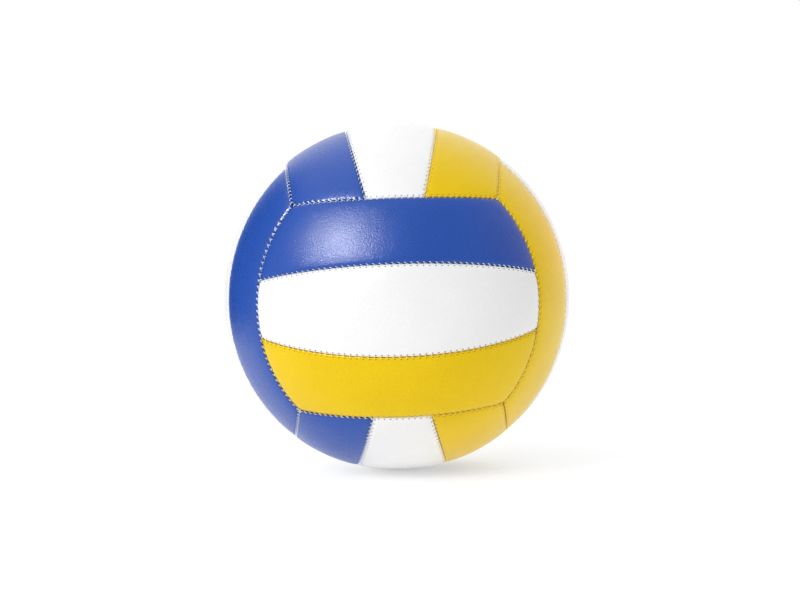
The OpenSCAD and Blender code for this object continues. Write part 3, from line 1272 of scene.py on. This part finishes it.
@dataclass
class StitchLine:
    """The stitches of the seams: each is a short V of thread with a tail down the seam.

    Attributes:
        layout: The ball's sizes.
        plan: Its seams.
        row: Its stitches.
        colours: The colours of its covers.
        ARM: An arm of the V, from inside the needle's hole to the V's point: across as a share of
            the hole's distance from the seam, past that, along the seam and outward, the last
            three in mm.
        POINT: The V's point, along and outward in mm.
        TAIL: The tail from there down the seam, likewise.
        TAIL_SHARE: The tail's thickness, as a share of the thread's.
        LOOK_ASIDE: How far off the seam the covers' colours are looked up.
    """

    layout: Layout
    plan: SeamPlan
    row: StitchRow
    colours: ColourMap

    THREAD_MAP = "thread_map"
    ARM = ((1, 0.04, 0.14, -1.50), (1, 0, 0.06, -0.62), (0.80, 0, -0.20, -0.38), (0.42, 0, -0.66, -0.48))
    POINT = (-1.12, -0.66)
    TAIL = ((-1.02, -0.68), (-1.66, -0.84), (-2.15, -1.30), (-2.4, -2.3))
    TAIL_SHARE = 0.8
    LOOK_ASIDE = 2 * MM

    def _tube(self, bm: bmesh.types.BMesh, path: Sequence[Vector], radius: float, sides: int) -> None:
        """Sweeps a round thread along a few points.

        Args:
            bm: The mesh to add it to.
            path: The points.
            radius: Radius of the thread.
            sides: Sides of its section.
        """
        uv = bm.loops.layers.uv.verify()
        frames = []
        for k, point in enumerate(path):
            way = path[min(k + 1, len(path) - 1)] - path[max(k - 1, 0)]
            frames.append(Matrix.Translation(point) @ way.to_track_quat("Z", "Y").to_matrix().to_4x4())
        made = bmesh.ops.create_circle(
            bm, cap_ends=True, segments=sides, radius=radius, matrix=frames[0])["verts"]
        cap = made[0].link_faces[0]
        run = 0.0
        for k in range(1, len(path)):
            grown = bmesh.ops.extrude_face_region(bm, geom=[cap])["geom"]
            cap = next(g for g in grown if isinstance(g, bmesh.types.BMFace))
            verts = [g for g in grown if isinstance(g, bmesh.types.BMVert)]
            bmesh.ops.transform(bm, matrix=frames[k] @ frames[k - 1].inverted(), verts=verts)
            length = (path[k] - path[k - 1]).length
            for number, loop in enumerate(cap.loops):
                for side in loop.edge.link_faces:
                    if side is not cap:
                        self._map_side(side, uv, set(cap.verts), number / sides, 1 / sides,
                                       run / MM, (run + length) / MM)
            run += length

    @staticmethod
    def _map_side(side: bmesh.types.BMFace, uv: bmesh.types.BMLayerItem, far: set[bmesh.types.BMVert],
                  turn: float, width: float, start: float, end: float) -> None:
        """Maps one side of a tube by its length in mm and its share of the way round."""
        for number, loop in enumerate(side.loops):
            past = loop.vert in far
            loop[uv].uv = (end if past else start, turn + (width if number in (1, 2) else 0))

    def _one(self) -> bpy.types.Mesh:
        """Makes one stitch, with X across the seam, Y along it and Z out of the ball."""
        bm = bmesh.new()
        hole, r = self.row.hole_at, self.row.thread_r
        sides = [
            [Vector((way * (share * hole + past * MM), along * MM, out * MM))
             for share, past, along, out in self.ARM] for way in (-1, 1)]
        point, *tail = (Vector((0, along * MM, out * MM)) for along, out in (self.POINT, *self.TAIL))
        self._tube(bm, [*sides[0], point, *reversed(sides[1])], r, self.row.sides)
        self._tube(bm, tail, self.TAIL_SHARE * r, self.row.sides - 1)
        bmesh.ops.recalc_face_normals(bm, faces=bm.faces)
        return finished_mesh(bm, "stitch")

    def _frame(self, seam: Seam, place: float) -> Matrix:
        """The frame of a stitch at a place along a seam."""
        ball_r = self.layout.ball_r
        turn = place / (ball_r * math.sin(seam.cone))
        across = seam.middle * math.cos(turn) + seam.along() * math.sin(turn)
        out = seam.axis * math.cos(seam.cone) + across * math.sin(seam.cone)
        way = seam.along() * math.cos(turn) - seam.middle * math.sin(turn)
        side = way.cross(out)
        turned = Matrix((side, way, out)).transposed().to_4x4()
        return Matrix.Translation(out * ball_r) @ turned

    def _line(self, seams: Sequence[Seam], one: bpy.types.Mesh) -> tuple[bpy.types.Mesh, list[int]]:
        """Lays stitches along seams.

        Args:
            seams: The seams.
            one: One stitch.

        Returns:
            All of them in one mesh, and the number of the thread of each of its faces.
        """
        frames = []
        for seam in seams:
            length = seam.reach(self.layout.ball_r)
            frames += [self._frame(seam, place) for place in self.row.places(length)]
        bm = bmesh.new()
        for there in frames:
            before = len(bm.verts)
            bm.from_mesh(one)
            bm.verts.ensure_lookup_table()
            bmesh.ops.transform(bm, matrix=there, verts=bm.verts[before:])
        # Yellow thread where one of the covers is yellow, white thread elsewhere.
        sides = [self.colours.at([there @ Vector((x, 0, 0)) for there in frames])
                 for x in (-self.LOOK_ASIDE, self.LOOK_ASIDE)]
        threads = [int(Shade.YELLOW in pair) for pair in zip(*sides)]
        return finished_mesh(bm, "stitches"), list(np.repeat(threads, len(one.polygons)))

    def build(self, materials: Sequence[bpy.types.Material]) -> list[bpy.types.Object]:
        """Makes and dresses the stitches of every seam.

        Args:
            materials: The white thread and the yellow one.

        Returns:
            The pieces.
        """
        one = self._one()
        pieces = []
        for face in FACES:
            for kind, seam in (("strip", self.plan.strip), ("edge", self.plan.edge)):
                seams = [s.turned(face.matrix()) for s in self.plan.both(seam)]
                mesh, threads = self._line(seams, one)
                piece = add_piece(mesh, f"{face.name}_{kind}_stitches", materials[0],
                                  f"{face.name}_{kind}_thread")
                if any(threads):
                    mesh.materials.append(materials[1])
                    mesh.polygons.foreach_set("material_index", threads)
                pieces.append(piece)
        bpy.data.meshes.remove(one)
        return pieces


@dataclass
class Valve:
    """The bladder and its valve keep their CAD shapes and get the finish of their rubbers.

    Attributes:
        rubbers: The rubber of each CAD node.
    """

    rubbers: dict[str, MouldedRubber] = field(default_factory=lambda: {
        "bladder": BLADDER_RUBBER,
        "bladder_patch": BLADDER_RUBBER,
        "valve_stem": VALVE_RUBBER,
        "valve_core": VALVE_RUBBER,
    })

    def dress(self, foam: bpy.types.Material) -> None:
        """Gives each CAD node that stays its material."""
        made = {rubber.name: rubber.make() for rubber in set(self.rubbers.values())}
        for name, rubber in self.rubbers.items():
            self._cover(name, made[rubber.name])
        self._cover("valve_seat_ring", foam)

    @staticmethod
    def _cover(name: str, material: bpy.types.Material) -> None:
        """Puts one material on a CAD node."""
        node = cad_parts[name]
        node.data.materials.clear()
        node.data.materials.append(material)
        log.info("%s: CAD shape in %s", name, material.name)


@dataclass(frozen=True)
class Lamp:
    """A soft distant lamp.

    Attributes:
        name: Name of the lamp.
        toward: The direction from the ball to it.
        spread: How wide it looks from the ball, in degrees.
        strength: Its strength on a surface that faces it.
        lights: Whether it lights surfaces.
        shines: Whether reflections show it.
    """

    name: str
    toward: tuple[float, float, float]
    spread: float
    strength: float
    lights: bool = True
    shines: bool = True

    def hang(self) -> None:
        """Puts the lamp in the scene."""
        data = bpy.data.lights.new(self.name, "SUN")
        data.angle = math.radians(self.spread)
        data.energy = self.strength
        lamp = bpy.data.objects.new(self.name, data)
        lamp.rotation_euler = (-Vector(self.toward)).to_track_quat("-Z", "Y").to_euler()
        lamp.visible_diffuse = self.lights
        lamp.visible_glossy = self.shines
        bpy.context.scene.collection.objects.link(lamp)


KEY = (-0.578, -0.570, 0.589)
LAMPS = (
    Lamp("key_light", KEY, 15.0, 1.44),
    Lamp("key_light_gloss", KEY, 16.0, 4.0, lights=False),
    Lamp("top_light", (-0.25, -0.10, 0.96), 60.0, 0.27),
    Lamp("left_light", (-0.95, 0.25, 0.15), 60.0, 0.26, shines=False),
)
WHITE_LIGHT = hex_colour("#ffffff")


@dataclass
class Studio:
    """A glowing white table, soft light and the camera of the photograph.

    Attributes:
        ball_r: Radius of the ball, which stands on the table.
        view_distance: From the camera to the ball's centre, 16.29 of the ball's radii.
        focal_px: Focal length in pixels of an image 800 wide.
        image_px: Size of that image.
        centre_px: Where the ball's centre falls in it.
        ball_turn: The ball's turn before the camera, in radians about right, away and up.
        sensor: Width of the camera's sensor in millimetres.
        floor_size: Width of the table, so wide that its edges stay out of view.
        flag_away: From the ball's centre to the black card.
        flag_size: Width and height of the card.
        flag_azimuth: How far the card is turned to the left of straight behind, in degrees.
        shade_reach: How far a place on the table looks for the ball that shades it.
        block_reach: How far from the contact point the table's glow is blocked.
    """

    ball_r: float
    view_distance: float = 16.29 * 105 * MM
    focal_px: float = 2817.1
    image_px: tuple[float, float] = (800, 600)
    centre_px: tuple[float, float] = (396.63, 296.47)
    ball_turn: tuple[float, float, float] = (0.0800, -0.0340, 0.0160)
    sensor: float = 36.0
    floor_size: float = 9.0
    flag_away: float = 0.5
    flag_size: tuple[float, float] = (0.5, 0.6)
    flag_azimuth: float = 58.0
    shade_reach: float = 0.5
    block_reach: float = 38 * MM

    def build(self) -> None:
        """Makes the camera, the table, the black card, the world and the lamps."""
        self._camera()
        self._sheet("paper_floor", (self.floor_size, self.floor_size),
                    Matrix.Translation(Vector((0, 0, -self.ball_r))), self._opal_acrylic())
        self._flag()
        self._world()
        for lamp in LAMPS:
            lamp.hang()
        bpy.context.scene.view_settings.view_transform = "Standard"

    def _camera(self) -> None:
        """Sets the camera up as the photograph's was."""
        turn = Vector(self.ball_turn)
        back = Quaternion(turn.normalized(), turn.length).to_matrix().transposed()
        right, away, up = (back @ Vector(v) for v in ((1, 0, 0), (0, 1, 0), (0, 0, 1)))
        data = bpy.data.cameras.new("photo_camera")
        data.sensor_width = self.sensor
        data.lens = self.focal_px * self.sensor / self.image_px[0]
        data.shift_x = (self.image_px[0] / 2 - self.centre_px[0]) / self.image_px[0]
        data.shift_y = (self.centre_px[1] - self.image_px[1] / 2) / self.image_px[0]
        camera = bpy.data.objects.new("photo_camera", data)
        turned = Matrix((right, up, -away)).transposed().to_4x4()
        camera.matrix_world = Matrix.Translation(-away * self.view_distance) @ turned
        bpy.context.scene.collection.objects.link(camera)
        bpy.context.scene.camera = camera

    @staticmethod
    def _sheet(name: str, size: tuple[float, float], place: Matrix,
               material: bpy.types.Material) -> bpy.types.Object:
        """Puts a flat sheet in the studio.

        Args:
            name: Name of the sheet.
            size: Its width and its length.
            place: Where its middle goes, and how it is turned.
            material: Its finish.

        Returns:
            The sheet.
        """
        half = Matrix.Diagonal((size[0] / 2, size[1] / 2, 1, 1))
        bm = bmesh.new()
        bmesh.ops.create_grid(bm, x_segments=1, y_segments=1, size=1, matrix=place @ half)
        mesh = finished_mesh(bm, name)
        mesh.materials.append(material)
        sheet = bpy.data.objects.new(name, mesh)
        bpy.context.scene.collection.objects.link(sheet)
        return sheet

    def _flag(self) -> None:
        """Stands a black card behind the ball on the left, which shows in its gloss alone."""
        material, tree = new_material("black_card")
        close_material(tree, add_node(tree, "BsdfDiffuse", inputs={"Color": hex_colour("#0a0a0a")}))
        stand = Matrix.Translation(Vector((0, self.flag_away, self.flag_size[1] / 2 - self.ball_r)))
        turn = Matrix.Rotation(math.radians(self.flag_azimuth), 4, "Z")
        upright = Matrix.Rotation(math.pi / 2, 4, "X")
        flag = self._sheet("black_flag", self.flag_size, turn @ stand @ upright, material)
        for kind in ("camera", "diffuse", "shadow", "transmission", "volume_scatter"):
            setattr(flag, f"visible_{kind}", False)

    def _opal_acrylic(self) -> bpy.types.Material:
        """Opal acrylic of a shooting table, lit from below, which keeps the ball's soft shadow."""
        material, tree = new_material("opal_acrylic_table")
        acrylic = add_node(
            tree, "BsdfDiffuse", inputs={"Color": hex_colour("#bfbfbf"), "Roughness": 0.0})
        # Right under the ball the glow is blocked, which leaves the ball's underside darker.
        place = add_node(tree, "TexCoord").outputs["Object"]
        level = add_node(tree, "VectorMath", {0: place}, operation="MULTIPLY", inputs={1: (1, 1, 0)})
        away = add_node(tree, "VectorMath", {0: level}, operation="LENGTH")
        open_share = add_node(
            tree, "MapRange", {"Value": away}, interpolation_type="SMOOTHSTEP",
            inputs={"From Min": 0.0, "From Max": self.block_reach, "To Min": 0.03, "To Max": 0.57})
        glow = add_node(tree, "Emission", {"Strength": open_share}, inputs={"Color": WHITE_LIGHT})
        lit = add_node(tree, "AddShader", {0: acrylic, 1: glow})
        # What the camera sees of it is mostly the glow, shaded where the ball stands over it.
        # The first shade lies close round the contact, the second on the side away from the lamp.
        shades = []
        for lean, (from_min, from_max, to_min, to_max), kind in (
                ((-0.35, 0.20, 0.92), (0.02, 0.28, 0.34, 0.0), "SMOOTHSTEP"),
                ((-0.86, -0.14, 0.49), (0.0, 1.0, 0.74, 0.97), "LINEAR")):
            normal = add_node(tree, "CombineXYZ", inputs=dict(enumerate(lean)))
            open_sky = add_node(tree, "AmbientOcclusion", {"Normal": normal}, samples=8,
                                inputs={"Distance": self.shade_reach})
            shades.append(add_node(
                tree, "MapRange", {"Value": open_sky.outputs["AO"]}, interpolation_type=kind,
                inputs={"From Min": from_min, "From Max": from_max, "To Min": to_min, "To Max": to_max}))
        left = add_node(tree, "Math", {0: shades[1], 1: shades[0]}, operation="SUBTRACT")
        face = add_node(tree, "BsdfDiffuse", inputs={"Color": hex_colour("#696969"), "Roughness": 0.0})
        shown = add_node(tree, "Emission", {"Strength": left}, inputs={"Color": WHITE_LIGHT})
        seen = add_node(tree, "AddShader", {0: face, 1: shown})
        rays = add_node(tree, "LightPath")
        both = add_node(tree, "MixShader", {0: rays.outputs["Is Camera Ray"], 1: lit, 2: seen})
        close_material(tree, both)
        return material

    @staticmethod
    def _world() -> None:
        """Makes the surroundings: white all round, and in reflections darker toward the camera."""
        world = bpy.data.worlds.new("white_studio")
        world.use_nodes = True
        bpy.context.scene.world = world
        tree = world.node_tree
        tree.nodes.clear()
        rays = add_node(tree, "LightPath")
        toward = add_node(tree, "TexCoord").outputs["Generated"]
        split = add_node(tree, "SeparateXYZ", {0: toward})
        level = add_node(
            tree, "MapRange", {"Value": split.outputs["Z"]},
            inputs={"From Min": 0.0, "From Max": 1.0, "To Min": 0.64, "To Max": 0.81})
        # The camera's side of the room is darker.
        level = add_node(
            tree, "Math", {0: split.outputs["Y"], 2: level}, operation="MULTIPLY_ADD", inputs={1: 0.35})
        mirrored = add_node(
            tree, "MapRange", {"Value": split.outputs["Y"]}, interpolation_type="SMOOTHSTEP",
            inputs={"From Min": -0.3, "From Max": 0.85, "To Min": 0.30, "To Max": 1.15})
        # Something warm stands low on the right, and tints what the ball mirrors there.
        side = add_node(
            tree, "VectorMath", {0: toward}, operation="DOT_PRODUCT", inputs={1: (0.88, 0.0, -0.47)})
        warm = add_node(
            tree, "MapRange", {"Value": side}, interpolation_type="SMOOTHSTEP",
            inputs={"From Min": 0.15, "From Max": 0.45})
        tint = add_node(
            tree, "Mix", {"Factor": warm}, data_type="RGBA",
            inputs={6: WHITE_LIGHT, 7: hex_colour("#ffdcc3")})
        more = add_node(tree, "MapRange", {"Value": warm}, inputs={"To Min": 1.0, "To Max": 1.5})
        mirror_level = add_node(tree, "Math", {0: mirrored, 1: more}, operation="MULTIPLY")
        gloss = add_node(tree, "Background", {"Color": tint, "Strength": mirror_level})
        soft = add_node(tree, "Background", {"Strength": level}, inputs={"Color": WHITE_LIGHT})
        light = add_node(tree, "MixShader", {0: rays.outputs["Is Glossy Ray"], 1: soft, 2: gloss})
        seen = add_node(tree, "Background", inputs={"Color": WHITE_LIGHT, "Strength": 1.0})
        both = add_node(tree, "MixShader", {0: rays.outputs["Is Camera Ray"], 1: light, 2: seen})
        add_node(tree, "OutputWorld", {"Surface": both})


def main() -> None:
    """Builds the ball and its studio."""
    logging.basicConfig(level=logging.INFO, format="%(name)s: %(message)s")
    layout = Layout()
    plan = SeamPlan(layout)
    row = StitchRow()
    foam = FOAM.make()
    Cover(layout, plan, row).build({shade: finish.make(row) for shade, finish in LEATHERS.items()})
    FoamPad(layout, plan).build(foam)
    colours = ColourMap(layout, plan)
    StitchLine(layout, plan, row, colours).build([thread.make() for thread in THREADS])
    Valve().dress(foam)
    Studio(layout.ball_r).build()


if __name__ == "__main__":
    main()
